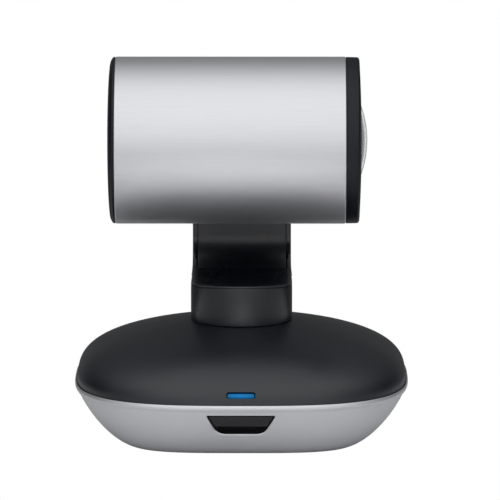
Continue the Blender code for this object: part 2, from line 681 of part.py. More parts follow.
def make_arm_frame():
    """A bent steel strip from the hub's flange up to the tilt bearing."""
    path = [(-11 * MM, 52.9 * MM), (8.5 * MM, 52.9 * MM), (14.5 * MM, 58.05 * MM), (20 * MM, 59.6 * MM),
            (30.5 * MM, 64.0 * MM), (FRAME_PLANE, 72.5 * MM), (FRAME_PLANE, 127 * MM)]
    upper, lower = [], []
    for i, (y, z) in enumerate(path):
        before, after = path[max(0, i - 1)], path[min(len(path) - 1, i + 1)]
        direction = Vector((after[0] - before[0], after[1] - before[1])).normalized()
        normal = Vector((-direction.y, direction.x)) * FRAME_THICK / 2
        upper.append((y + normal.x, z + normal.y))
        lower.append((y - normal.x, z - normal.y))
    frame = prism("arm_frame", upper + lower[::-1], -FRAME_HALF, FRAME_HALF, "X")
    cut(frame, disc("cutter", 6 * MM, 45 * MM, 55 * MM, sides=16))
    for side in (-1, 1):
        edges = sorted((side * FRAME_NECK, side * 20 * MM))
        cut(frame, block("cutter", (edges[0], 3 * MM, 40 * MM), (edges[1], 23 * MM, 70 * MM)))
        hole = disc("cutter", 1.5 * MM, 30 * MM, 45 * MM, "Y", 12)
        hole.location = (side * ARM_SCREW_X, 0, ARM_SCREW_Z)
        cut(frame, hole)
    seat = disc("cutter", 8 * MM, 20 * MM, 60 * MM, "Y", 24)
    seat.location = (0, 0, TILT_HEIGHT)
    cut(frame, seat)
    finish(frame, STEEL, PAN)
    bearing = tube("tilt_bearing", SHAFT_RADIUS + 0.35 * MM, 8 * MM - GAP, 35.7 * MM, 38.0 * MM, "Y", 24)
    bearing.location = (0, 0, TILT_HEIGHT)
    finish(bearing, BRASS, PAN)
    motor = turned("tilt_motor", [
        (0, 42.1 * MM), (3.5 * MM, 42.1 * MM), (3.5 * MM, 42.5 * MM), (9.5 * MM, 42.5 * MM),
        (10.0 * MM, 43.0 * MM), (10.0 * MM, 47.7 * MM), (0, 47.7 * MM)], "Y", 24)
    motor.location = (0, 0, TILT_HEIGHT - TILT_GEAR_DISTANCE)
    finish(motor, STEEL, PAN)
    pinion = prism("tilt_pinion", gear_outline(PINION_TEETH, turn=math.pi / PINION_TEETH), *GEAR_LANE, "Y")
    join(pinion, disc("trim", 1.5 * MM, 40 * MM, 41.8 * MM, "Y", 12))
    finish(pinion, BRASS, TILT_PINION, smooth=False)
    for name, side in (("arm_screw_left", -1), ("arm_screw_right", 1)):
        screw = turned(name, [
            (0, 35.9 * MM), (1.2 * MM, 35.9 * MM), (1.2 * MM, 37.9 * MM), (2.4 * MM, 37.9 * MM),
            (2.4 * MM, 39.5 * MM), (0, 39.5 * MM)], "Y", 12)
        screw.location = (side * ARM_SCREW_X, 0, ARM_SCREW_Z)
        finish(screw, STEEL, PAN)


# ---------------------------------------------------------------- head shells


def make_head_shells():
    sleeve = tube("head_tube", TUBE_BORE, TUBE_RADIUS, TUBE_REAR, TUBE_FRONT, "X", 64)
    cut(sleeve, disc("cutter", 13.2 * MM, 10 * MM, 60 * MM, "Y", 28))
    finish(sleeve, ALUMINIUM, TILT)
    spigot = TUBE_BORE - GAP
    spigot_bore = 28.4 * MM
    bezel = [(32.35, 40.75), (31.95, 45.2), (31.4, 45.8), (15.0, 46.45), (15.0, 43.6), (28.4, 43.0)]
    bezel = [(r * MM, x * MM) for r, x in bezel]
    bezel += [(spigot_bore, 36.5 * MM), (spigot, 36.5 * MM), (spigot, 40.75 * MM)]
    finish(turned("front_bezel", bezel, "X", 56), BLACK_PLASTIC, TILT)
    cap = [(0, -52.05), (16.0, -51.9), (26.0, -51.45), (30.4, -50.95), (31.8, -50.3), (32.35, -49.3)]
    cap = [(r * MM, x * MM) for r, x in cap]
    cap += [(spigot, -49.3 * MM), (spigot, -45.0 * MM), (spigot_bore, -45.0 * MM), (spigot_bore, -49.4 * MM),
            (0, -49.8 * MM)]
    finish(turned("rear_cap", cap, "X", 56), BLACK_PLASTIC, TILT)


DOME_TIP = 48.95 * MM
DOME_SPHERE = 39.7 * MM
DOME_WALL = 0.8 * MM
DOME_RADIUS = 14.65 * MM


def cap_profile(sphere, tip, radius, steps):
    """Points of a spherical cap from its tip out to a radius."""
    points = []
    for i in range(steps + 1):
        r = radius * i / steps
        points.append((r, tip - sphere + math.sqrt(sphere**2 - r**2)))
    return points


def make_lens():
    outside = cap_profile(DOME_SPHERE, DOME_TIP, DOME_RADIUS, 5)
    inside = cap_profile(DOME_SPHERE - DOME_WALL, DOME_TIP - DOME_WALL, DOME_RADIUS - DOME_WALL, 4)
    skirt = 44.0 * MM
    profile = outside + [(DOME_RADIUS, skirt), (DOME_RADIUS - DOME_WALL, skirt)] + inside[::-1]
    finish(turned("lens_dome", profile, "X", 40), CLEAR_GLASS, TILT)
    front = cap_profile(DOME_SPHERE - 1.2 * MM, 47.8 * MM, 11.2 * MM, 5)
    element = front + [(11.2 * MM, 40.6 * MM), (8 * MM, 39.6 * MM), (0, 39.0 * MM)]
    finish(turned("front_element", element, "X", 32), CLEAR_GLASS, TILT)
    ring = [(11.5, 38.6), (13.7, 38.6), (13.7, 44.9), (11.5, 45.9)]
    finish(turned("lens_ring", [(r * MM, x * MM) for r, x in ring], "X", 32), GLOSS_BLACK, TILT)


# ---------------------------------------------------------------- zoom block and boards

BLOCK_HALF = 19.0 * MM
BLOCK_WALL = 2.0 * MM
BLOCK_REAR = -18.0 * MM
BLOCK_FRONT = 38.0 * MM
ROD_OFFSET = 13.0 * MM
ROD_RADIUS = 1.0 * MM
CARRIER_HALF = 15.6 * MM
SCREW_RADIUS = 1.2 * MM


def square(half, corner):
    """A square outline with cut corners."""
    near = half - corner
    return [(near, -half), (half, -near), (half, near), (near, half), (-near, half), (-half, near),
            (-half, -near), (-near, -half)]


def drilled(obj, y, z, radius, sides=10):
    drill = disc("cutter", radius, -60 * MM, 60 * MM, "X", sides)
    drill.location = (0, y, z)
    return cut(obj, drill)


def make_zoom_block():
    housing = prism("lens_housing", square(BLOCK_HALF, 3 * MM), BLOCK_REAR, BLOCK_FRONT, "X")
    inner = BLOCK_HALF - BLOCK_WALL
    cut(housing, prism("cutter", square(inner, 1.5 * MM), BLOCK_REAR - 5 * MM, BLOCK_FRONT - 2 * MM, "X"))
    cut(housing, disc("cutter", 10.5 * MM, 0, 60 * MM, "X", 28))
    finish(housing, CHIP_BLACK, TILT, smooth=False)
    for name, y, z in (("guide_rod_upper", -ROD_OFFSET, ROD_OFFSET),
                       ("guide_rod_lower", ROD_OFFSET, -ROD_OFFSET)):
        rod = disc(name, ROD_RADIUS, BLOCK_REAR + 1 * MM, BLOCK_FRONT - 2.3 * MM, "X", 10)
        rod.location = (0, y, z)
        finish(rod, STEEL, TILT)
    motor = disc("zoom_motor", 4.0 * MM, 28.0 * MM, BLOCK_FRONT - 2.3 * MM, "X", 16)
    motor.location = (0, SCREW_OFFSET, SCREW_OFFSET)
    finish(motor, STEEL, TILT)
    finish(disc("zoom_screw", SCREW_RADIUS, -14 * MM, 27.7 * MM, "X", 12), STEEL, ZOOM_SCREW)

    carriers = (("zoom", 1.0 * MM, ZOOM, 8.0 * MM, SCREW_RADIUS + GAP),
                ("focus", -9.0 * MM, FOCUS, 6.5 * MM, 2.2 * MM))
    for name, rear, body, bore, screw_hole in carriers:
        front = rear + 4.5 * MM
        carrier = prism(name + "_carrier", square(CARRIER_HALF, 2.5 * MM), rear, front, "X")
        drilled(carrier, 0, 0, bore, 24)
        drilled(carrier, -ROD_OFFSET, ROD_OFFSET, ROD_RADIUS + GAP)
        drilled(carrier, ROD_OFFSET, -ROD_OFFSET, ROD_RADIUS + GAP)
        drilled(carrier, SCREW_OFFSET, SCREW_OFFSET, screw_hole, 12)
        finish(carrier, CHIP_BLACK, body, smooth=False)
        middle = (rear + front) / 2
        edge, crown = 1.0 * MM, 2.1 * MM
        radius = bore - GAP
        lens = [(0, middle - crown), (radius * 0.6, middle - crown * 0.8), (radius, middle - edge),
                (radius, middle + edge), (radius * 0.6, middle + crown * 0.8), (0, middle + crown)]
        finish(turned(name + "_lens", lens, "X", 20), CLEAR_GLASS, body)


def make_boards():
    sensor_plane = BLOCK_REAR - GAP
    board = prism("sensor_board", square(18 * MM, 3 * MM), sensor_plane - 1.6 * MM, sensor_plane, "X")
    finish(board, GREEN_BOARD, TILT, smooth=False)
    far_corner = (sensor_plane + 1.6 * MM, 4.5 * MM, 3.5 * MM)
    sensor = block("image_sensor", (sensor_plane + GAP, -4.5 * MM, -3.5 * MM), far_corner)
    finish(sensor, CHIP_BLACK, TILT, smooth=False)
    video = prism("video_board", square(20.5 * MM, 6 * MM), -42.4 * MM, -40.8 * MM, "X")
    finish(video, GREEN_BOARD, TILT, smooth=False)


def make_tilt_hub():
    bracket = block("head_frame", (-15 * MM, BLOCK_HALF + GAP, -14 * MM), (30 * MM, 21.4 * MM, 14 * MM))
    cut(bracket, disc("cutter", 3.5 * MM, 0, 60 * MM, "Y", 16))
    finish(bracket, STEEL, TILT, smooth=False)
    boss = tube("tilt_boss", 9.5 * MM, 12.8 * MM, 24.3 * MM, 33.5 * MM, "Y", 32)
    finish(boss, BLACK_PLASTIC, TILT)
    shaft = turned("tilt_shaft", [
        (3.5 * MM, 21.7 * MM), (12.0 * MM, 21.7 * MM), (12.0 * MM, 24.0 * MM), (SHAFT_RADIUS, 24.0 * MM),
        (SHAFT_RADIUS, 43.5 * MM), (3.5 * MM, 43.5 * MM)], "Y", 24)
    finish(shaft, STEEL, TILT)
    gear = prism("tilt_gear", gear_outline(TILT_TEETH), *GEAR_LANE, "Y")
    finish(cut(gear, disc("cutter", SHAFT_RADIUS + GAP, 0, 60 * MM, "Y", 24)), WHITE_NYLON, TILT, smooth=False)


make_top_cover()
make_bowl()
make_window()
make_bottom()
make_lights()
make_rear_panel()
make_sockets()
make_pan_drive()
make_collar()
make_cap()
make_arm()
make_arm_frame()
make_head_shells()
make_lens()
make_zoom_block()
make_boards()
make_tilt_hub()
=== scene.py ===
import json
import math

import bmesh
import bpy
import numpy as np
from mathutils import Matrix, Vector


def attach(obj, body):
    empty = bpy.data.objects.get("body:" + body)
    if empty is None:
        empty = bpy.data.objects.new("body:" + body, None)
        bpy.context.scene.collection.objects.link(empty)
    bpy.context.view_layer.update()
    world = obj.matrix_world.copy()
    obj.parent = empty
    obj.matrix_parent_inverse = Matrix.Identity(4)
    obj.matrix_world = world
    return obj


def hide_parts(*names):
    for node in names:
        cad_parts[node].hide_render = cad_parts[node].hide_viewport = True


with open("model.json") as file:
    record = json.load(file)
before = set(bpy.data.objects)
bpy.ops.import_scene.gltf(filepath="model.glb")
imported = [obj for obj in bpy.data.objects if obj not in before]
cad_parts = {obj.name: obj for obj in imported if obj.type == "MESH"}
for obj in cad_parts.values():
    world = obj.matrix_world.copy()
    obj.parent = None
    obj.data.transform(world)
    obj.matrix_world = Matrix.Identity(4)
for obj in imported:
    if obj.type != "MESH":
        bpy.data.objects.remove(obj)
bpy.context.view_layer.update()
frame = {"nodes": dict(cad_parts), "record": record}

MM = 0.001
nodes = frame["nodes"]

# ------------------------------------------------------------------ lower shell of the base
# The shallow bowl that the camera stands on: moulded plastic under a fine metallic silver paint.
# Its rounded lip holds the black cover. The front has an opening for the infrared window, and the
# back one for the sockets.

RIM_HEIGHT = 23.7
FLOOR_GAP = 1.0
AROUND = 288
RIM_EXPONENT = 3.0
SOLE_EXPONENT = 4.0
WINDOW_TILT = math.radians(35)
WINDOW_CENTRE = (0, -60.2, 15.2)
WINDOW_WIDE, WINDOW_NARROW, WINDOW_TALL = 13.3, 8.8, 5.1
WINDOW_CORNERS = (0.8, 3.2)
SOCKET_BAY = ((-25.0, 43.0, 6.6), (25.0, 80.0, 18.6))


def rounded_square(half, height, exponent):
    """Rings of |x|^n + |y|^n = half^n: at angle a the radius is half (|cos a|^n + |sin a|^n)^(-1/n)."""
    a = np.linspace(0, 2 * np.pi, AROUND, endpoint=False)[None, :]
    half, height, n = (np.asarray(v, float)[:, None] for v in (half, height, exponent))
    radius = half * (np.abs(np.cos(a)) ** n + np.abs(np.sin(a)) ** n) ** (-1 / n)
    return np.stack([radius * np.cos(a), radius * np.sin(a), height + 0 * a], axis=-1)


def softened(profile, radius, steps=5):
    """A closed profile with each corner P made the curve (1-t)^2 A + 2t(1-t) P + t^2 B.
    A and B lie a radius off the corner, on the edges before and after it."""
    p = np.asarray(profile, float)
    before, after = np.roll(p, 1, 0) - p, np.roll(p, -1, 0) - p
    to_before = np.linalg.norm(before, axis=1, keepdims=True)
    to_after = np.linalg.norm(after, axis=1, keepdims=True)
    reach = np.broadcast_to(np.asarray(radius, float), len(p))[:, None]
    start = p + before / to_before * np.minimum(reach, 0.45 * to_before)
    end = p + after / to_after * np.minimum(reach, 0.45 * to_after)
    t = np.linspace(0, 1, steps)[None, :, None]
    curve = (1 - t) ** 2 * start[:, None] + 2 * t * (1 - t) * p[:, None] + t**2 * end[:, None]
    return curve.reshape(-1, 2)


def skin(name, points, around_rows=True, sharp=32):
    """A closed mesh over a grid of points in millimetres: four neighbours make a face.
    Columns always wrap round. Rows wrap round too, or else the first and last rows are filled."""
    rows, columns = points.shape[:2]
    index = np.arange(rows * columns).reshape(rows, columns)
    if around_rows:
        index = np.vstack([index, index[:1]])
    index = np.hstack([index, index[:, :1]])
    quads = np.stack([index[:-1, :-1], index[:-1, 1:], index[1:, 1:], index[1:, :-1]], axis=-1).reshape(-1, 4)
    mesh = bpy.data.meshes.new(name)
    mesh.from_pydata((points.reshape(-1, 3) * MM).tolist(), [], quads.tolist())
    bm = bmesh.new()
    bm.from_mesh(mesh)
    bmesh.ops.remove_doubles(bm, verts=bm.verts, dist=1e-7)
    if not around_rows:
        bmesh.ops.holes_fill(bm, edges=bm.edges, sides=0)
    bmesh.ops.recalc_face_normals(bm, faces=bm.faces)
    bm.to_mesh(mesh)
    bm.free()
    piece = bpy.data.objects.new(name, mesh)
    bpy.context.scene.collection.objects.link(piece)
    shade(piece, sharp)
    return piece


def shade(piece, sharp=32):
    piece.data.shade_smooth()
    piece.data.set_sharp_from_angle(angle=math.radians(sharp))


def cut_away(piece, cutter, sharp=32):
    """Takes the cutter's shape out of the piece, for good, and removes the cutter."""
    modifier = piece.modifiers.new("opening", "BOOLEAN")
    modifier.operation = "DIFFERENCE"
    modifier.solver = "EXACT"
    modifier.object = cutter
    bpy.context.view_layer.update()
    graph = bpy.context.evaluated_depsgraph_get()
    mesh = bpy.data.meshes.new_from_object(piece.evaluated_get(graph))
    piece.modifiers.clear()
    piece.data = mesh
    bpy.data.objects.remove(cutter)
    shade(piece, sharp)


def straight_through(name, outline, low, high, turn=0.0, centre=(0, 0, 0), far_outline=None):
    """A prism: an outline of (x, z) points pushed along Y from low to high.
    It is turned about X and moved to centre. With far_outline it tapers to that one at high."""
    ends = np.stack([outline, outline if far_outline is None else far_outline]).astype(float)
    x, z = ends[..., 0], ends[..., 1]
    y = np.array([low, high], float)[:, None] + 0 * x
    c, s = math.cos(turn), math.sin(turn)
    points = np.stack([x, y * c - z * s, y * s + z * c], axis=-1) + np.asarray(centre, float)
    return skin(name, points, around_rows=False)


def window_outline(inset):
    """Wider above than below, with small upper corners and large lower ones."""
    wide, narrow, tall = WINDOW_WIDE - inset, WINDOW_NARROW - inset * 0.8, WINDOW_TALL - inset
    corners = [(-wide, tall), (-narrow, -tall), (narrow, -tall), (wide, tall)]
    upper, lower = WINDOW_CORNERS
    return softened(corners, [upper, lower, lower, upper], 9)


def box_outline(low, high):
    """The (x, z) outline of a box between two corners."""
    return [(low[0], low[2]), (high[0], low[2]), (high[0], high[2]), (low[0], high[2])]


def bowl_exponent(height):
    """The plan's squareness, which grows evenly from the rim down to the sole."""
    share = np.clip((RIM_HEIGHT - np.asarray(height)) / (RIM_HEIGHT - FLOOR_GAP), 0, 1)
    return RIM_EXPONENT + (SOLE_EXPONENT - RIM_EXPONENT) * share


def bowl_wall(depth):
    """Half-width of the bowl at a share t of its depth: 43.94 + 20.98 (1 - t^1.22)^0.675."""
    return 43.94 + 20.98 * (1 - depth**1.22) ** 0.675


lip = np.array([(64.36, 22.3), (64.38, 23.35), (64.5, 23.62), (64.7, 23.66), (64.92, 23.5), (65.0, 23.2),
                (65.0, 22.7), (64.95, 22.3), (64.8, 21.95), (64.5, 21.55), (64.3, 21.3)])
depths = np.linspace(0.115, 1.0, 56)
wall = np.stack([bowl_wall(depths), RIM_HEIGHT - depths * (RIM_HEIGHT - FLOOR_GAP)], axis=-1)
sole = np.array([(42.4, FLOOR_GAP), (41.0, FLOOR_GAP), (39.75, FLOOR_GAP), (39.6, 1.2), (39.6, 3.6)])
inside = np.array([(46.0, 3.9), (50.6, 7.0), (54.5, 11.0), (58.2, 15.0), (62.0, 21.9), (63.4, 22.2)])
profile = np.vstack([lip, wall, sole, inside])
bowl = skin("base_bowl_shell", rounded_square(profile[:, 0], profile[:, 1], bowl_exponent(profile[:, 1])))
cut_away(bowl, straight_through("opening", window_outline(0.0), -8, 8, WINDOW_TILT, WINDOW_CENTRE))
chamfer = straight_through("chamfer", window_outline(-2.3), -2.0, 0.3, WINDOW_TILT, WINDOW_CENTRE,
                           far_outline=window_outline(0.0))
cut_away(bowl, chamfer)
bay = softened(box_outline(*SOCKET_BAY), 1.6, 6)
cut_away(bowl, straight_through("opening", bay, SOCKET_BAY[0][1], SOCKET_BAY[1][1]))


def add(tree, kind, **values):
    """A shader node with its plain settings and the values of its inputs."""
    node = tree.nodes.new(kind)
    for key, value in values.items():
        if hasattr(node, key):
            setattr(node, key, value)
        else:
            node.inputs[key.replace("_", " ")].default_value = value
    return node


def new_group(name, inputs, outputs):
    """An empty node group. An input whose value is None is a vector, and every other socket is a number."""
    tree = bpy.data.node_groups.new(name, "ShaderNodeTree")
    for label, value in inputs:
        kind = "NodeSocketVector" if value is None else "NodeSocketFloat"
        socket = tree.interface.new_socket(name=label, in_out="INPUT", socket_type=kind)
        if value is not None:
            socket.default_value = value
    for label in outputs:
        tree.interface.new_socket(name=label, in_out="OUTPUT", socket_type="NodeSocketFloat")
    return tree, tree.nodes.new("NodeGroupInput"), tree.nodes.new("NodeGroupOutput")


def grain_group():
    """Moulded or sprayed grain: fine noise for bump and speckle, and broad soft patches of handling."""
    inputs = [("Vector", None), ("Fine Scale", 900.0), ("Patch Scale", 18.0)]
    tree, given, out = new_group("surface_grain", inputs, ["Fine", "Patch"])
    fine = add(tree, "ShaderNodeTexNoise", Detail=2.0, Roughness=0.6)
    patch = add(tree, "ShaderNodeTexNoise", Detail=4.0, Roughness=0.55)
    for node, scale in ((fine, "Fine Scale"), (patch, "Patch Scale")):
        tree.links.new(given.outputs["Vector"], node.inputs["Vector"])
        tree.links.new(given.outputs[scale], node.inputs["Scale"])
    tree.links.new(fine.outputs[0], out.inputs["Fine"])
    tree.links.new(patch.outputs[0], out.inputs["Patch"])
    return tree


SURFACE_GRAIN = grain_group()


def spread(tree, source, low, high):
    """Maps a 0.3 to 0.7 noise value onto low to high."""
    node = add(tree, "ShaderNodeMapRange")
    for i, value in enumerate((0.3, 0.7, low, high)):
        node.inputs[i + 1].default_value = value
    tree.links.new(source, node.inputs[0])
    return node.outputs[0]


def tinted(tree, factor, dark, light):
    """Mixes two colours by a factor."""
    node = add(tree, "ShaderNodeMix", data_type="RGBA")
    node.inputs[6].default_value = (*dark, 1)
    node.inputs[7].default_value = (*light, 1)
    tree.links.new(factor, node.inputs[0])
    return node.outputs[2]


def finish_of(name, dark, light, roughness, metallic=0.0, fine=900.0, bump=0.02, patch=18.0, distance=0.0001,
              shine=0.5):
    """A finish whose colour speckles from dark to light, and whose roughness wanders between two values."""
    made = bpy.data.materials.new(name)
    made.use_nodes = True
    tree = made.node_tree
    shader = tree.nodes["Principled BSDF"]
    shader.inputs["Metallic"].default_value = metallic
    shader.inputs["Specular IOR Level"].default_value = shine
    place = add(tree, "ShaderNodeTexCoord")
    grain = add(tree, "ShaderNodeGroup")
    grain.node_tree = SURFACE_GRAIN
    grain.inputs["Fine Scale"].default_value = fine
    grain.inputs["Patch Scale"].default_value = patch
    tree.links.new(place.outputs["Object"], grain.inputs["Vector"])
    speckle = spread(tree, grain.outputs["Fine"], 0, 1)
    tree.links.new(tinted(tree, speckle, dark, light), shader.inputs["Base Color"])
    tree.links.new(spread(tree, grain.outputs["Patch"], *roughness), shader.inputs["Roughness"])
    relief = add(tree, "ShaderNodeBump", Strength=bump, Distance=distance)
    tree.links.new(grain.outputs["Fine"], relief.inputs["Height"])
    tree.links.new(relief.outputs["Normal"], shader.inputs["Normal"])
    return made


def fit(piece, material, body, slot, *stands_for):
    """Gives a piece its finish and its moving body, and hides the solids that it stands for. The slot is not
    used.
    """
    piece.data.materials.clear()
    piece.data.materials.append(material)
    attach(piece, body)
    if stands_for:
        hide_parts(*stands_for)


silver_paint = finish_of("silver_paint", (0.78, 0.785, 0.805), (0.84, 0.845, 0.865), (0.36, 0.42),
                         metallic=0.85, fine=6000, bump=0.03, patch=14, distance=0.00003)
fit(bowl, silver_paint, "base", "silver_shell", "base_bowl")

# ------------------------------------------------------------------ top cover of the base
# A black moulded dome with a fine matt grain, dropped into the bowl's lip with a hairline gap. It rises
# steeply at its rim and runs into a low cone round the turret. A slot at its front shows the status light.

COVER_HALF = 64.15
COVER_WALL = 2.0
COVER_SKIRT = 22.6
HOLE_SHARE = 19.0 / COVER_HALF
LIGHT_SHARE = 0.992
LIGHT_TILT = math.radians(-20)


def dome_height(s):
    """Height over the rim at a share s of the half-width: 14.28 (1 - s^2.55)^0.353 + 10.49 (1 - s)^0.7625."""
    return 14.28 * (1 - s**2.55) ** 0.353 + 10.49 * (1 - s) ** 0.7625


def dome_exponent(s):
    """Round at the turret's hole, and as square as the rim at the edge."""
    return 2 + (RIM_EXPONENT - 2) * np.clip((s - HOLE_SHARE) / (1 - HOLE_SHARE), 0, 1) ** 0.7


shares = 1 - (1 - HOLE_SHARE) * (1 - np.sin(np.linspace(0, np.pi / 2, 64)))
shares = shares[shares > HOLE_SHARE + 0.004]
under = np.array([1.0, 0.985, 0.97, 0.94, 0.9, 0.85, 0.79, 0.7, 0.6, 0.45])
inner_top = RIM_HEIGHT + dome_height(HOLE_SHARE) - COVER_WALL
inner_rise = (inner_top - COVER_SKIRT) / dome_height(HOLE_SHARE)
hole = HOLE_SHARE * COVER_HALF
half = np.concatenate([[hole, hole + 0.08], shares * COVER_HALF, [COVER_HALF, COVER_HALF],
                       under * (COVER_HALF - COVER_WALL), [hole]])
hole_top = RIM_HEIGHT + dome_height(HOLE_SHARE)
height = np.concatenate([[hole_top - 0.35, hole_top - 0.08], RIM_HEIGHT + dome_height(shares),
                         [RIM_HEIGHT - 0.3, COVER_SKIRT], COVER_SKIRT + inner_rise * dome_height(under),
                         [inner_top]])
squareness = np.concatenate([[2, 2], dome_exponent(shares), [RIM_EXPONENT] * 2, dome_exponent(under), [2]])
cover = skin("base_cover_shell", rounded_square(half, height, squareness), sharp=40)


def bar_outline(length, tall, corner):
    """A bar with rounded corners, its long side along X."""
    x, z = length / 2, tall / 2
    return softened([(-x, -z), (x, -z), (x, z), (-x, z)], corner, 9)


light_centre = (0, -LIGHT_SHARE * COVER_HALF, RIM_HEIGHT + dome_height(LIGHT_SHARE))
cut_away(cover, straight_through("opening", bar_outline(11.1, 2.6, 1.1), -6, 6, LIGHT_TILT, light_centre), 40)
MOULDED_BLACK = ((0.0025, 0.0042, 0.0075), (0.0045, 0.0064, 0.0105))
black_plastic = finish_of("black_plastic", *MOULDED_BLACK, (0.34, 0.40), fine=1100, bump=0.10, shine=0.8)
fit(cover, black_plastic, "base", "black_shell", "base_top_cover")

# ------------------------------------------------------------------ status light
# A blue light pipe with rounded corners, set a little back in its slot. A lamp behind it lights it, a little
# less towards its ends.


def pad(name, outline, front, back, edge, turn, centre):
    """A flat pad with a rounded front edge: outlines drawn in by edge (1 - sin a), edge (1 - cos a) back."""
    a = np.linspace(0, np.pi / 2, 5)
    inset = np.concatenate([[edge + 0.5], edge * (1 - np.sin(a)), [0], [edge + 0.5]])
    depth = np.concatenate([[front], front + edge * (1 - np.cos(a)), [back], [back]])
    rings = np.stack([outline(i) for i in inset])
    x, z, y = rings[..., 0], rings[..., 1], depth[:, None] + 0 * rings[..., 0]
    c, s = math.cos(turn), math.sin(turn)
    points = np.stack([x, y * c - z * s, y * s + z * c], -1) + np.asarray(centre, float)
    return skin(name, points, around_rows=False)


def glow_material():
    """A blue plastic that shines. Its glow falls to 0.55 of the middle's at 5.2 mm aside."""
    made = finish_of("status_light_blue", (0.002, 0.05, 0.14), (0.003, 0.07, 0.18), (0.22, 0.30), fine=500,
                     bump=0.02, shine=0.2)
    tree = made.node_tree
    shader = tree.nodes["Principled BSDF"]
    place = add(tree, "ShaderNodeTexCoord")
    split = add(tree, "ShaderNodeSeparateXYZ")
    tree.links.new(place.outputs["Object"], split.inputs[0])
    middle = add(tree, "ShaderNodeMath", operation="ABSOLUTE")
    tree.links.new(split.outputs[0], middle.inputs[0])
    fall = add(tree, "ShaderNodeMapRange")
    for i, value in enumerate((0.0, 0.0052, 1.0, 0.55)):
        fall.inputs[i + 1].default_value = value
    tree.links.new(middle.outputs[0], fall.inputs[0])
    shine = tinted(tree, fall.outputs[0], (0.0, 0.0, 0.0), (0.002, 0.17, 0.44))
    tree.links.new(shine, shader.inputs["Emission Color"])
    shader.inputs["Emission Strength"].default_value = 0.75
    return made


def light_outline(inset):
    """The bar's own outline, drawn in by an inset all round."""
    return bar_outline(10.3 - 2 * inset, 1.5 - 2 * inset, 0.68 - inset)


light = pad("status_light_bar", light_outline, 0.75, 3.2, 0.2, LIGHT_TILT, light_centre)
fit(light, glow_material(), "base", "status_blue", "status_light")

# ------------------------------------------------------------------ infrared window
# A dark plastic window in the front of the bowl, that the remote control's receiver looks out of. A narrow
# groove runs round its smooth upper face, and its lower part is a deep black hollow.

WINDOW_STEP = -1.0
FRAME_WIDTH = 0.5
EDGE_DEPTH, GROOVE_DEPTH, FACE_DEPTH, HOLLOW_DEPTH = 0.15, 1.6, 0.4, 3.0
WINDOW_THICK = 6.2


def window_depth(aside, above, z, below):
    """How far behind the bowl's face the window lies, from the distances to its sides, top and bottom."""
    framed = np.where(np.minimum(aside, above) < FRAME_WIDTH, GROOVE_DEPTH, FACE_DEPTH)
    depth = np.where(z > WINDOW_STEP, framed, HOLLOW_DEPTH)
    return np.where(np.minimum(np.minimum(aside, above), below) < 0.03, EDGE_DEPTH, depth)


def window_piece():
    """Level rows: x = s (w(z) - d) over the outline's half-width w, then back along the piece's back."""
    edge = window_outline(0.12)
    side = edge[edge[:, 0] > 0]
    side = side[np.argsort(side[:, 1])]
    low, high = side[0, 1], side[-1, 1]
    hollow = np.linspace(low + 0.3, WINDOW_STEP - 0.12, 8)
    upper = np.linspace(WINDOW_STEP + 0.3, high - FRAME_WIDTH - 0.05, 10)
    z = np.concatenate([[low, low + 0.05], hollow, [WINDOW_STEP + 0.02], upper,
                        [high - FRAME_WIDTH + 0.02, high - 0.06, high]])[:, None]
    wide = np.interp(z, side[:, 1], side[:, 0])
    margin = np.array([0, 0.06, FRAME_WIDTH - 0.02, FRAME_WIDTH + 0.05])[None, :]
    left, middle = -(wide - margin), (wide - 0.9) * np.linspace(-1, 1, 15)[None, :]
    x = np.hstack([left, middle, -left[:, ::-1]])
    y = window_depth(wide - np.abs(x), high - z, z, z - low)
    front = np.stack([x, y, z + 0 * x], -1)
    back = front[:, ::-1] * [1, 0, 1] + [0, WINDOW_THICK, 0]
    points = np.concatenate([front, back], axis=1)
    x, y, z = points[..., 0], points[..., 1], points[..., 2]
    c, s = math.cos(WINDOW_TILT), math.sin(WINDOW_TILT)
    points = np.stack([x, y * c - z * s, y * s + z * c], -1) + np.asarray(WINDOW_CENTRE, float)
    return skin("window_dark", points, around_rows=False, sharp=25)


window_black = finish_of("window_black", (0.008, 0.008, 0.010), (0.012, 0.012, 0.014), (0.12, 0.18), fine=300,
                         bump=0.01)
fit(window_piece(), window_black, "base", "gloss_black", "ir_window")

# ------------------------------------------------------------------ turret collar
# A black moulded ring that turns in the cover's hole, with a thin waist where it goes in. Its top is cut on a
# slant, higher at the side away from the arm.

COLLAR_RADIUS = 19.8
COLLAR_FOOT = 45.6
SEAM_HEIGHT = 59.1
SEAM_SLOPE = 0.10
TILT_HEIGHT = 116.2


def seam_height(y):
    """The slanted plane in which collar and cap meet."""
    return SEAM_HEIGHT - SEAM_SLOPE * y


def collar_piece():
    """A closed wall profile turned about Z, its upper part shifted by the slope times y."""
    low, top = 43.7, SEAM_HEIGHT - 0.15
    waist, bore = COLLAR_RADIUS - 1.0, COLLAR_RADIUS - 2.0
    ring = softened([(waist, low), (waist, COLLAR_FOOT), (COLLAR_RADIUS, COLLAR_FOOT), (COLLAR_RADIUS, top),
                     (bore, top), (bore, low)], [0.1, 0.05, 0.3, 0.35, 0.3, 0.1])
    a = np.linspace(0, 2 * np.pi, 192, endpoint=False)[None, :]
    radius, h = ring[:, :1], ring[:, 1:]
    x, y = radius * np.cos(a), radius * np.sin(a)
    z = h - SEAM_SLOPE * y * np.clip((h - low) / (top - low), 0, 1)
    return skin("turret_collar_ring", np.stack([x, y, z], -1))


DEEP_BLACK = ((0.0018, 0.003, 0.0058), (0.0035, 0.005, 0.0085))
satin_black = finish_of("satin_black", *DEEP_BLACK, (0.24, 0.30), fine=1100, bump=0.05, shine=0.75)
fit(collar_piece(), satin_black, "turret", "black_shell", "turret_collar")

# ------------------------------------------------------------------ turret cap
# Closes the turret under the head, in the same satin black. Its hollow top clears the tube as it tilts, and
# runs back into the arm.

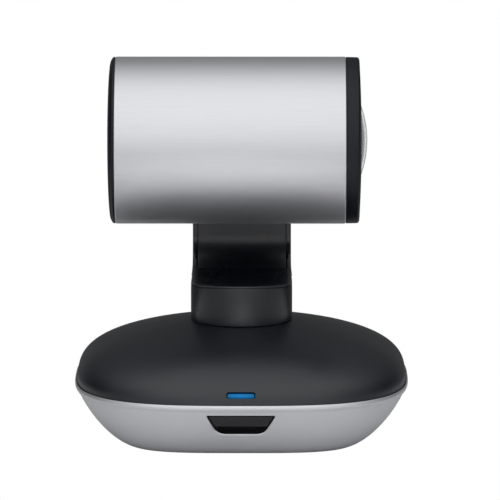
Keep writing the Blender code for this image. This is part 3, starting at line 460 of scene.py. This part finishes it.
ARM_FACE = 33.9
ARM_BACK = 50.0
TROUGH_TOP = 74.0
TROUGH_POWER = 2.6
TROUGH_DROP = TROUGH_TOP - SEAM_HEIGHT - 0.8
CAP_BACK = 21.75
ARM_START = 21.8
ARM_HALF = 19.45


def trough_height(y):
    """A slanting floor up to y 0, then the curve 74 - 14.1 (1 - (y / 33.9)^2.6)^(1 / 2.6)."""
    rest = np.clip(1 - (np.maximum(y, 0) / ARM_FACE) ** TROUGH_POWER, 0, 1)
    behind = TROUGH_TOP - TROUGH_DROP * rest ** (1 / TROUGH_POWER)
    return behind - SEAM_SLOPE * np.minimum(y, 0)


def arm_back_curve(u):
    """Cubic from the collar's back edge, down and out, then up to the straight back: the arm's outer side."""
    start = (COLLAR_RADIUS - 0.5, seam_height(COLLAR_RADIUS) + 0.15)
    corners = [start, (36, 57.5), (ARM_BACK, 66), (ARM_BACK, 86)]
    weights = ((1 - u) ** 3, 3 * u * (1 - u) ** 2, 3 * u * u * (1 - u), u**3)
    return sum(w[..., None] * np.asarray(p, float) for w, p in zip(weights, corners))


def arm_width(y, z):
    """The half-width of cap and arm, which narrow a little over the seam."""
    return np.interp(z - seam_height(y), [0.8, 3.4], [COLLAR_RADIUS, ARM_HALF])


def cap_piece():
    """Sections across the cap: half-width (R - o) cos a at y = -(R - o) sin a round the front, then straight
    back. Each runs over the hollow top, round its lip, down the side and along the underside."""
    a = np.linspace(np.pi / 2, 0, 40)
    turn = np.concatenate([a, np.zeros(12)])[:, None]
    shift = np.concatenate([np.zeros(40), np.linspace(0, CAP_BACK, 13)[1:]])[:, None]
    b = np.linspace(0, np.pi / 2, 6)
    inset = np.concatenate([[9.0], 0.8 * (1 - np.sin(b)), [0.0, 0.15, 2.0, 2.0, 9.0]])[None, :]
    below = np.concatenate([[0.0], 0.8 * (1 - np.cos(b)), [0, 0, 0, 2.0, 2.0]])[None, :]
    face = np.concatenate([[0.0], np.zeros(6), [1, 1, 1, 0, 0]])[None, :]
    lift = np.concatenate([[0.0], np.zeros(6), [0.2, 0, 0, 0, 0]])[None, :]
    reach = np.clip(COLLAR_RADIUS - inset, 0, None)
    x, y = reach * np.cos(turn), shift - reach * np.sin(turn)
    dense = arm_back_curve(np.linspace(0, 1, 400))
    bottom = np.where(y < dense[0, 0], seam_height(y) + 0.15, np.interp(y, dense[:, 0], dense[:, 1]))
    z = np.where(face == 0, trough_height(y) - below, bottom + lift)
    right = np.stack([x * arm_width(y, z) / COLLAR_RADIUS, y, z], -1)
    left = right[:, ::-1] * np.array([-1, 1, 1])
    return skin("turret_cap_shell", np.concatenate([right, left], axis=1), around_rows=False, sharp=40)


fit(cap_piece(), satin_black, "turret", "black_shell", "turret_cap")

# ------------------------------------------------------------------ side arm
# A black moulded arm that rises behind the head to the tilt axis, and ends in a half round. A slightly duller
# panel closes its front, and lies flush in the arm's rim.


def arm_stations(bend, straight, crown):
    """Front and back points (y, z) of the arm's sections, and how far its round top has turned at each."""
    power = 2 / TROUGH_POWER
    start = math.asin((ARM_START / ARM_FACE) ** (1 / power))
    psi = np.linspace(start, np.pi / 2, bend)
    depth = TROUGH_DROP * np.abs(np.cos(psi)) ** power
    front = np.stack([ARM_FACE * np.sin(psi) ** power, TROUGH_TOP - depth], -1)
    dense = arm_back_curve(np.linspace(0, 1, 400))
    u0 = np.interp(ARM_START, dense[:, 0], np.linspace(0, 1, 400))
    back = arm_back_curve(np.linspace(u0, 1, bend))
    t = np.linspace(0, 1, straight + 1)[1:, None]
    front = np.vstack([front, front[-1] + t * (np.array([ARM_FACE, TILT_HEIGHT]) - front[-1])])
    back = np.vstack([back, back[-1] + t * (np.array([ARM_BACK, TILT_HEIGHT]) - back[-1])])
    turn = np.concatenate([np.zeros(bend + straight), np.linspace(0, np.pi / 2, crown + 1)[1:]])
    front = np.vstack([front, np.repeat(front[-1:], crown, 0)])
    back = np.vstack([back, np.repeat(back[-1:], crown, 0)])
    return front, back, turn


def swept_arm(name, front, back, turn, width, inset, depth, face):
    """A half section carried up the arm. A point lies inset from the side, and depth in from the front or
    back face: x = (W - inset) cos a and z gains (W - inset) sin a, so the top runs round the tilt axis."""
    through = back - front
    through = through / np.linalg.norm(through, axis=1, keepdims=True)
    front_side = (face == 0)[None, :, None]
    place = np.where(front_side, front[:, None] + through[:, None] * depth[None, :, None],
                     back[:, None] - through[:, None] * depth[None, :, None])
    across = np.where(front_side[..., 0], width(*front.T)[:, None], width(*back.T)[:, None]) - inset[None, :]
    x = across * np.cos(turn)[:, None]
    z = place[..., 1] + across * np.sin(turn)[:, None]
    right = np.stack([x, place[..., 0], z], -1)
    left = right[:, ::-1] * np.array([-1, 1, 1])
    return skin(name, np.concatenate([right, left], axis=1), around_rows=False, sharp=40)


BEND, STRAIGHT, CROWN = 30, 20, 28
PANEL_HALF = 17.5
PANEL_THICK = 0.5
PANEL_SEAT = 2.1
EDGE = 1.1
front, back, turn = arm_stations(BEND, STRAIGHT, CROWN)
b = np.linspace(0, np.pi / 2, 6)
rim = ARM_HALF - PANEL_HALF - 0.22
inset = np.concatenate([[rim + 3, rim, rim, rim - 0.12], (EDGE * (1 - np.sin(b)))[1:],
                        EDGE * 1.6 * (1 - np.cos(b)), [9.0]])
depth = np.concatenate([[PANEL_SEAT, PANEL_SEAT, 0.12, 0.0], (0.45 * (1 - np.cos(b)))[1:],
                        EDGE * 1.6 * (1 - np.sin(b)), [0.0]])
face = np.concatenate([np.zeros(4), np.zeros(5), np.ones(6), [1]])
arm = swept_arm("arm_outer", front, back, turn, arm_width, inset, depth, face)
fit(arm, satin_black, "turret", "black_shell", "arm_outer_shell")

panel_back = front.copy()
rise = BEND + STRAIGHT
step = np.gradient(front[:rise], axis=0)
step = step / np.linalg.norm(step, axis=1, keepdims=True)
panel_back[:rise] = front[:rise] + PANEL_THICK * np.stack([step[:, 1], -step[:, 0]], -1)
panel_back[rise:] = front[rise:] + np.array([PANEL_THICK, 0.0])
inset = np.concatenate([[9.0], 0.35 * (1 - np.sin(b)), [0.0, 9.0]])
depth = np.concatenate([[0.0], 0.35 * (1 - np.cos(b)), [0.0, 0.0]])
face = np.concatenate([np.zeros(7), [1, 1]])
panel = swept_arm("arm_panel", front, panel_back, turn, lambda y, z: PANEL_HALF + 0 * z, inset, depth, face)
panel_black = finish_of("panel_black", *DEEP_BLACK, (0.36, 0.42), fine=1100, bump=0.05, shine=0.8)
fit(panel, panel_black, "turret", "black_shell", "arm_inner_cover")

# ------------------------------------------------------------------ head tube
# A drawn aluminium sleeve, brushed along its length and clear anodised. Its front edge is turned to a bright
# chamfer. A hole in its side lets the tilt shaft in.


def turned_about_x(name, profile, around=256, sharp=32):
    """A closed profile of (radius, x) turned about the head's long axis."""
    a = np.linspace(0, 2 * np.pi, around, endpoint=False)[None, :]
    p = np.asarray(profile, float)
    r, x = p[:, :1], p[:, 1:]
    points = np.stack([x + 0 * a, r * np.cos(a), TILT_HEIGHT + r * np.sin(a)], -1)
    return skin(name, points, sharp=sharp)


def turned_about_y(name, profile, around=96):
    """A closed profile of (radius, y) turned about the tilt axis."""
    a = np.linspace(0, 2 * np.pi, around, endpoint=False)[None, :]
    p = np.asarray(profile, float)
    r, y = p[:, :1], p[:, 1:]
    points = np.stack([r * np.cos(a), y + 0 * a, TILT_HEIGHT + r * np.sin(a)], -1)
    return skin(name, points)


sleeve = [(32.5, -48.75), (32.5, 40.2), (32.25, 40.45), (30.9, 40.45), (30.9, -49.0), (32.25, -49.0)]
tube = turned_about_x("head_sleeve", softened(sleeve, [0.15, 0.05, 0.05, 0.1, 0.1, 0.1], 3))
SHAFT_HOLE = 13.2
cut_away(tube, turned_about_y("opening", [(0, 12), (SHAFT_HOLE, 12), (SHAFT_HOLE, 50), (0, 50)], 128))


def brushed_aluminium():
    """Fine lines drawn out along X, in three widths, over a plain bright metal."""
    made = bpy.data.materials.new("brushed_aluminium")
    made.use_nodes = True
    tree = made.node_tree
    shader = tree.nodes["Principled BSDF"]
    shader.inputs["Metallic"].default_value = 1.0
    place = add(tree, "ShaderNodeTexCoord")
    lines = []
    for along, across in ((20, 5200), (60, 2600), (10, 7000)):
        stretch = add(tree, "ShaderNodeMapping")
        stretch.inputs["Scale"].default_value = (along, across, across)
        noise = add(tree, "ShaderNodeTexNoise", Scale=1.0, Detail=2.0)
        tree.links.new(place.outputs["Object"], stretch.inputs["Vector"])
        tree.links.new(stretch.outputs[0], noise.inputs["Vector"])
        lines.append(noise.outputs[0])
    both = add(tree, "ShaderNodeMix", data_type="FLOAT", Factor=0.4)
    tree.links.new(lines[0], both.inputs[2])
    tree.links.new(lines[1], both.inputs[3])
    streaks = spread(tree, both.outputs[0], 0, 1)
    colour = tinted(tree, streaks, (0.81, 0.814, 0.832), (0.855, 0.86, 0.88))
    tree.links.new(colour, shader.inputs["Base Color"])
    tree.links.new(spread(tree, lines[2], 0.42, 0.50), shader.inputs["Roughness"])
    relief = add(tree, "ShaderNodeBump", Strength=0.05, Distance=0.00003)
    tree.links.new(both.outputs[0], relief.inputs["Height"])
    tree.links.new(relief.outputs["Normal"], shader.inputs["Normal"])
    return made


aluminium = brushed_aluminium()
fit(tube, aluminium, "head", "tube_aluminium", "head_tube")

# ------------------------------------------------------------------ front bezel and rear cap
# Black mouldings pressed into the tube's ends, less shiny than the base's cover. The bezel's face swells a
# little towards the lens, and the cap's back is a shallow dome with a rolled edge.

SPIGOT, SPIGOT_BORE = 30.6, 28.4
bezel = [(32.4, 40.65), (32.3, 45.2), (31.6, 45.8), (24.0, 46.2), (15.6, 46.5), (15.0, 46.2), (15.0, 43.6),
         (SPIGOT_BORE, 43.0), (SPIGOT_BORE, 36.5), (SPIGOT, 36.5), (SPIGOT, 40.2), (32.05, 40.6)]
bezel = softened(bezel, [0.1, 0.5, 0.5, 6, 0.5, 0.3, 0.3, 0.5, 0.2, 0.2, 0.05, 0.05])
ring = turned_about_x("front_bezel_ring", bezel, sharp=50)
bezel_plastic = finish_of("bezel_plastic", *MOULDED_BLACK, (0.38, 0.44), fine=1100, bump=0.08, shine=0.35)
fit(ring, bezel_plastic, "head", "black_shell", "front_bezel")
back_cap = [(0, -52.05), (16.0, -51.9), (26.0, -51.5), (30.7, -51.0), (32.4, -49.9), (32.4, -49.2),
            (32.05, -49.15), (SPIGOT, -48.8), (SPIGOT, -45.0), (SPIGOT_BORE, -45.0), (SPIGOT_BORE, -49.4),
            (0, -49.8)]
back_cap = softened(back_cap, [0, 6, 4, 1.2, 0.7, 0.1, 0.05, 0.05, 0.2, 0.2, 0.5, 0])
cap = turned_about_x("rear_cap_shell", back_cap, sharp=50)
fit(cap, bezel_plastic, "head", "black_shell", "rear_cap")

# ------------------------------------------------------------------ lens window and what shows in it
# A clear domed cover over the lens. Close behind it a matt black retaining ring swells the same way, and the
# coated front element lies in the ring's mouth.

DOME_SPHERE = 39.7
DOME_TIP = 48.95
DOME_FOOT = 44.0
DOME_RADIUS = 14.65
DOME_WALL = 0.8
RING_GAP = 0.15


def dome_profile(sphere, tip, radius):
    """Points (r, tip - R + sqrt(R^2 - r^2)) of a cap of a sphere."""
    r = np.linspace(0, radius, 24)
    return np.stack([r, tip - sphere + np.sqrt(sphere**2 - r**2)], -1)


dome_outer = dome_profile(DOME_SPHERE, DOME_TIP, DOME_RADIUS)
dome_inner = dome_profile(DOME_SPHERE - DOME_WALL, DOME_TIP - DOME_WALL, DOME_RADIUS - DOME_WALL)
foot_edge = [(DOME_RADIUS, DOME_FOOT), (DOME_RADIUS - DOME_WALL, DOME_FOOT)]
dome = turned_about_x("lens_window", np.vstack([dome_outer, foot_edge, dome_inner[::-1]]), 192)
front_face = dome_profile(20.0, 46.9, 5.3)
element_back = [(11.2, 42.4), (11.2, 40.6), (8, 39.6), (0, 39.0)]
element = turned_about_x("front_lens", np.vstack([front_face, element_back]), 128)


def clear_glass(name, tint, roughness, other_tint):
    """A clear body whose tint and faint roughness wander in broad patches, like wiped glass."""
    made = bpy.data.materials.new(name)
    made.use_nodes = True
    tree = made.node_tree
    shader = tree.nodes["Principled BSDF"]
    shader.inputs["Transmission Weight"].default_value = 1.0
    shader.inputs["IOR"].default_value = 1.3
    place = add(tree, "ShaderNodeTexCoord")
    grain = add(tree, "ShaderNodeGroup")
    grain.node_tree = SURFACE_GRAIN
    grain.inputs["Patch Scale"].default_value = 60.0
    tree.links.new(place.outputs["Object"], grain.inputs["Vector"])
    tree.links.new(spread(tree, grain.outputs["Patch"], *roughness), shader.inputs["Roughness"])
    patches = spread(tree, grain.outputs["Patch"], 0, 1)
    tree.links.new(tinted(tree, patches, tint, other_tint), shader.inputs["Base Color"])
    return made


window_glass = clear_glass("window_glass", (0.93, 0.95, 0.97), (0.0, 0.03), (0.98, 0.985, 1.0))
coated_glass = clear_glass("coated_glass", (0.55, 0.40, 0.75), (0.0, 0.02), (0.35, 0.60, 0.85))
fit(dome, window_glass, "head", "clear_glass", "lens_dome")
fit(element, coated_glass, "head", "clear_glass", "front_element")
swell = dome_profile(DOME_SPHERE - 1.0, DOME_TIP - DOME_WALL - RING_GAP, 13.6)[::-1]
swell = swell[swell[:, 0] > 6.1]
ring_outside = [(11.5, 38.6), (13.7, 38.6), (13.7, 45.3)]
ring_mouth = [(5.6, 47.4), (5.5, 46.9), (11.5, 44.2)]
lens_ring = turned_about_x("lens_retainer", np.vstack([ring_outside, swell, ring_mouth]), 128)
matt_black = finish_of("matt_black", (0.002, 0.002, 0.0025), (0.004, 0.004, 0.0045), (0.62, 0.72), fine=900,
                       bump=0.05, shine=0.08)
fit(lens_ring, matt_black, "head", "gloss_black", "lens_ring")

# ------------------------------------------------------------------ tilt boss
# The black sleeve round the tilt shaft, between the arm's panel and the tube. It is moulded, and turns with
# the head.

sleeve_profile = softened([(9.5, 24.3), (12.8, 24.3), (12.8, 33.5), (9.5, 33.5)], 0.4)
boss = turned_about_y("tilt_boss_sleeve", sleeve_profile)
fit(boss, black_plastic, "head", "black_shell", "tilt_boss")

# ------------------------------------------------------------------ feet
# Four round rubber pads with soft edges, stuck under the base near its corners. They are matt and a little
# uneven.

FOOT_SPREAD = 29
rubber = finish_of("foot_rubber", (0.012, 0.012, 0.012), (0.028, 0.028, 0.027), (0.75, 0.9), fine=500,
                   bump=0.5)


def turned_about_z(name, profile, x, y):
    """A closed profile of (radius, z) turned about an upright axis through x and y."""
    a = np.linspace(0, 2 * np.pi, 64, endpoint=False)[None, :]
    p = np.asarray(profile, float)
    r, z = p[:, :1], p[:, 1:]
    points = np.stack([x + r * np.cos(a), y + r * np.sin(a), z + 0 * a], -1)
    return skin(name, points)


pad_profile = softened([(0, 0), (4.6, 0), (5.5, 0.45), (5.5, 0.97), (0, 0.97)], [0, 0.3, 0.3, 0.05, 0])
sides = (("front_left", -1, -1), ("front_right", 1, -1), ("rear_left", -1, 1), ("rear_right", 1, 1))
for corner, x, y in sides:
    foot = turned_about_z("pad_" + corner, pad_profile, x * FOOT_SPREAD, y * FOOT_SPREAD)
    fit(foot, rubber, "base", "foot_rubber", "foot_" + corner)

# ------------------------------------------------------------------ what stays as it was drawn
# Sockets, screws, bottom plate, boards, drives and the lens block keep their own shapes. Each gets the finish
# that its slot in the record asks for.

steel = finish_of("turned_steel", (0.42, 0.43, 0.45), (0.58, 0.59, 0.61), (0.28, 0.42), 1.0, 700, 0.15)
brass = finish_of("turned_brass", (0.62, 0.46, 0.20), (0.76, 0.60, 0.30), (0.26, 0.40), 1.0, 700, 0.15)
nylon = finish_of("natural_nylon", (0.70, 0.69, 0.64), (0.80, 0.79, 0.74), (0.42, 0.52), fine=300, bump=0.1)
board = finish_of("green_board", (0.010, 0.085, 0.035), (0.016, 0.13, 0.055), (0.30, 0.42), fine=350,
                  bump=0.2)
black_part = finish_of("moulded_black", (0.012, 0.012, 0.013), (0.022, 0.022, 0.024), (0.42, 0.58), fine=600,
                       bump=0.3)
gloss_black = finish_of("gloss_black", (0.006, 0.006, 0.007), (0.009, 0.009, 0.010), (0.16, 0.24), fine=400)
lens_glass = clear_glass("lens_glass", (0.90, 0.95, 0.92), (0.0, 0.02), (0.96, 0.97, 1.0))
by_slot = {"steel": steel, "brass": brass, "nylon": nylon, "circuit_board": board, "black_part": black_part,
           "clear_glass": lens_glass, "black_shell": satin_black, "gloss_black": gloss_black}
for entry in frame["record"]["subparts"]:
    if entry["material_slot"] in by_slot:
        kept = nodes[entry["node"]]
        kept.data.materials.clear()
        kept.data.materials.append(by_slot[entry["material_slot"]])

# ------------------------------------------------------------------ floor, light and camera
# A pale floor in an all-white surround, lit softly from the front and above. What the glossy black pieces
# mirror from behind is dim. The camera stands a little above level, some way off, with a long lens.


def emission(tree, colour, strength):
    """A shader that shines in a plain colour."""
    node = add(tree, "ShaderNodeEmission", Strength=strength)
    node.inputs["Color"].default_value = (*colour, 1)
    return node


def white_floor():
    """Plain white to the camera, and a pale matt floor to the light that bounces off it."""
    made = bpy.data.materials.new("white_floor")
    made.use_nodes = True
    tree = made.node_tree
    shader = tree.nodes["Principled BSDF"]
    shader.inputs["Base Color"].default_value = (0.58, 0.58, 0.59, 1)
    shader.inputs["Roughness"].default_value = 0.9
    path = add(tree, "ShaderNodeLightPath")
    plain = emission(tree, (1, 1, 1), 1.0)
    mix = add(tree, "ShaderNodeMixShader")
    tree.links.new(path.outputs["Is Camera Ray"], mix.inputs[0])
    tree.links.new(shader.outputs[0], mix.inputs[1])
    tree.links.new(plain.outputs[0], mix.inputs[2])
    tree.links.new(mix.outputs[0], tree.nodes["Material Output"].inputs["Surface"])
    return made


FLOOR_REACH = 4.0
FLOOR_BACK = 0.14
floor_mesh = bpy.data.meshes.new("studio_floor")
corners = [(-FLOOR_REACH, -FLOOR_REACH, 0), (FLOOR_REACH, -FLOOR_REACH, 0), (FLOOR_REACH, FLOOR_BACK, 0),
           (-FLOOR_REACH, FLOOR_BACK, 0)]
floor_mesh.from_pydata(corners, [], [(0, 1, 2, 3)])
floor = bpy.data.objects.new("studio_floor", floor_mesh)
bpy.context.scene.collection.objects.link(floor)
floor_mesh.materials.append(white_floor())

world = bpy.data.worlds.new("studio")
bpy.context.scene.world = world
world.use_nodes = True
sky = world.node_tree
background = sky.nodes["Background"]
direction = add(sky, "ShaderNodeTexCoord")
split = add(sky, "ShaderNodeSeparateXYZ")
sky.links.new(direction.outputs["Generated"], split.inputs[0])
toward_front = add(sky, "ShaderNodeMath", operation="MULTIPLY")
toward_front.inputs[1].default_value = -1.0
sky.links.new(split.outputs[1], toward_front.inputs[0])
height_over = add(sky, "ShaderNodeMath", operation="ABSOLUTE")
sky.links.new(split.outputs[2], height_over.inputs[0])
overhead = add(sky, "ShaderNodeMath", operation="ARCTAN2")
sky.links.new(height_over.outputs[0], overhead.inputs[0])
sky.links.new(toward_front.outputs[0], overhead.inputs[1])
half_turn = add(sky, "ShaderNodeMath", operation="DIVIDE")
half_turn.inputs[1].default_value = math.pi
sky.links.new(overhead.outputs[0], half_turn.inputs[0])
sweep = add(sky, "ShaderNodeValToRGB")
sweep.color_ramp.interpolation = "B_SPLINE"
# Brightness from 0 at the level front, over the top, to 1 at the level back, and the same below.
stops = ((0.0, 0.84), (0.14, 0.94), (0.24, 1.0), (0.40, 1.0), (0.52, 0.88), (0.61, 0.56), (0.69, 0.30),
         (0.80, 0.12), (0.92, 0.07), (1.0, 0.18))
for i, (at, level) in enumerate(stops):
    stop = sweep.color_ramp.elements[i] if i < 2 else sweep.color_ramp.elements.new(at)
    stop.position = at
    stop.color = (level * 1.03, level * 1.035, level * 1.045, 1)
sky.links.new(half_turn.outputs[0], sweep.inputs[0])
sky.links.new(sweep.outputs[0], background.inputs["Color"])
# Towards either side the surround dims to a quarter.
aside = add(sky, "ShaderNodeMath", operation="ABSOLUTE")
sky.links.new(split.outputs[0], aside.inputs[0])
dimmer = add(sky, "ShaderNodeMapRange", interpolation_type="SMOOTHSTEP")
for i, value in enumerate((0.35, 1.0, 1.0, 0.25)):
    dimmer.inputs[i + 1].default_value = value
sky.links.new(aside.outputs[0], dimmer.inputs[0])
sky.links.new(dimmer.outputs[0], background.inputs["Strength"])
seen = add(sky, "ShaderNodeBackground", Strength=1.0)
seen.inputs["Color"].default_value = (1, 1, 1, 1)
path = add(sky, "ShaderNodeLightPath")
# The camera sees plain white, also through glass, unless the light was scattered on its way.
unscattered = add(sky, "ShaderNodeMath", operation="SUBTRACT", use_clamp=True)
sky.links.new(path.outputs["Is Transmission Ray"], unscattered.inputs[0])
sky.links.new(path.outputs["Diffuse Depth"], unscattered.inputs[1])
plain_to_see = add(sky, "ShaderNodeMath", operation="MAXIMUM")
sky.links.new(path.outputs["Is Camera Ray"], plain_to_see.inputs[0])
sky.links.new(unscattered.outputs[0], plain_to_see.inputs[1])
choose = add(sky, "ShaderNodeMixShader")
sky.links.new(plain_to_see.outputs[0], choose.inputs[0])
sky.links.new(background.outputs[0], choose.inputs[1])
sky.links.new(seen.outputs[0], choose.inputs[2])
sky.links.new(choose.outputs[0], sky.nodes["World Output"].inputs["Surface"])


def floor_lamp(name, place, target, size, power, spread_angle):
    """A soft lamp that brightens the floor round the object, for dark glossy pieces to mirror."""
    lamp = bpy.data.lights.new(name, "AREA")
    lamp.shape = "RECTANGLE"
    lamp.size, lamp.size_y = size
    lamp.energy = power
    lamp.spread = math.radians(spread_angle)
    obj = bpy.data.objects.new(name, lamp)
    bpy.context.scene.collection.objects.link(obj)
    obj.location = place
    obj.visible_glossy = False
    obj.visible_camera = False
    toward = Vector(target) - Vector(place)
    obj.rotation_euler = toward.to_track_quat("-Z", "Y").to_euler()


floor_lamp("front_floor_lamp", (0.0, -1.0, 1.2), (0, -0.6, 0.0), (1.2, 0.8), 1.75, 100)
floor_lamp("near_floor_lamp", (0.0, -0.28, 0.33), (0, -0.26, 0.0), (0.10, 0.2), 0.16, 50)
floor_lamp("left_floor_lamp", (-0.40, 0.15, 0.4), (-0.38, 0.15, 0.0), (0.2, 0.2), 0.15, 70)
floor_lamp("right_floor_lamp", (0.40, 0.15, 0.4), (0.38, 0.15, 0.0), (0.2, 0.2), 0.15, 70)

ELEVATION = math.radians(9.8)
YAW = math.radians(0.15)
AIM = (0.0033, 0.0, 0.0728)
DISTANCE = 2.2
VIEW_WIDTH = 0.1953
lens = bpy.data.cameras.new("camera")
lens.sensor_width = 36
lens.lens = 36 * DISTANCE / VIEW_WIDTH
lens.clip_start, lens.clip_end = 0.5, 60
camera = bpy.data.objects.new("camera", lens)
bpy.context.scene.collection.objects.link(camera)
away = DISTANCE * math.cos(ELEVATION)
camera.location = (AIM[0] + away * math.sin(YAW), AIM[1] - away * math.cos(YAW),
                   AIM[2] + DISTANCE * math.sin(ELEVATION))
camera.rotation_euler = (math.pi / 2 - ELEVATION, 0, YAW)
bpy.context.scene.camera = camera
bpy.context.scene.view_settings.view_transform = "Standard"
